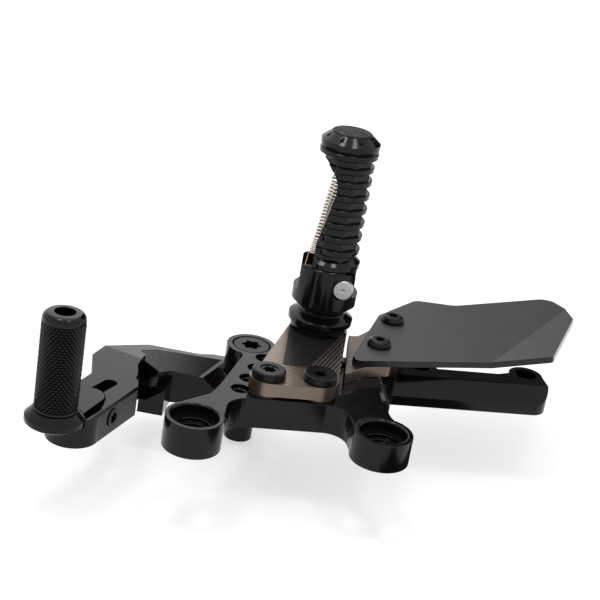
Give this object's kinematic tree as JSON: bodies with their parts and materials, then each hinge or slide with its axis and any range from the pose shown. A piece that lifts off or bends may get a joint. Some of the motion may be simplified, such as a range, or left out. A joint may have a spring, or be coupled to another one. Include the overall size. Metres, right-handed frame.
{
  "type": "motorcycle rear set footrest",
  "caption": "Right-hand rear set: frame bracket with a folding ridged foot peg on an adapter, a brake lever with a knurled toe peg, and a heel guard.",
  "frame": {"origin": "the foot peg's axis on the plane where the bracket's two bosses meet the frame", "axes": "+Z outboard along the foot peg and the frame bolts, +X towards the rear arm, +Y away from the frame bosses"},
  "size_m": [0.2402, 0.1968, 0.1503],
  "materials": {
    "black_anodised": "satin black anodised",
    "bronze_anodised": "satin bronze anodised",
    "matte_black_guard": "bead blasted black anodised",
    "knurled_black": "knurled, black anodised",
    "black_oxide_steel": "black oxide",
    "stainless_steel": "turned stainless steel",
    "spring_steel": "passivated",
    "bearing_bronze": "sintered bronze",
    "grip_pad": "grained grip pad"
  },
  "bodies": {
    "bracket": {"base_plate": "black_anodised", "peg_adapter": "bronze_anodised", "adapter_bolts": "black_oxide_steel", "heel_guard_arm": "bronze_anodised", "guard_arm_screws": "black_oxide_steel", "heel_guard": "matte_black_guard", "heel_guard_screws": "black_oxide_steel", "peg_collar": "black_anodised", "peg_clevis": "black_anodised", "peg_mount_bolt": "black_oxide_steel", "hinge_pin": "stainless_steel", "pin_clip": "black_oxide_steel", "spring_anchor_pin": "stainless_steel", "pivot_bolt": "black_oxide_steel", "pivot_washer_upper": "bearing_bronze", "pivot_washer_lower": "bearing_bronze", "pivot_nut": "black_oxide_steel"},
    "foot_peg": {"foot_peg": "black_anodised", "peg_end_pad": "grip_pad", "spring_hook_pin": "stainless_steel", "return_spring": "spring_steel"},
    "brake_lever": {"brake_lever": "black_anodised", "pivot_bush": "bearing_bronze", "toe_peg_holder": "black_anodised", "toe_peg": "knurled_black", "toe_peg_bolt": "black_oxide_steel", "holder_clamp_screw": "black_oxide_steel", "lever_set_screw": "black_oxide_steel"}
  },
  "joints": [
    {"name": "peg_fold", "type": "hinge", "parent": "bracket", "child": "foot_peg", "pos_m": [0.0078, 0, 0.046], "axis": [0, 1, 0], "range_deg": [0, 88], "stiffness_Nm_per_rad": 0.3, "springref_deg": -57.3, "deforming": ["return_spring"]},
    {"name": "lever_pivot", "type": "hinge", "parent": "bracket", "child": "brake_lever", "pos_m": [-0.029, -0.0171, -0.0085], "axis": [0, 0, 1], "range_deg": [-14, 2]}
  ]
}
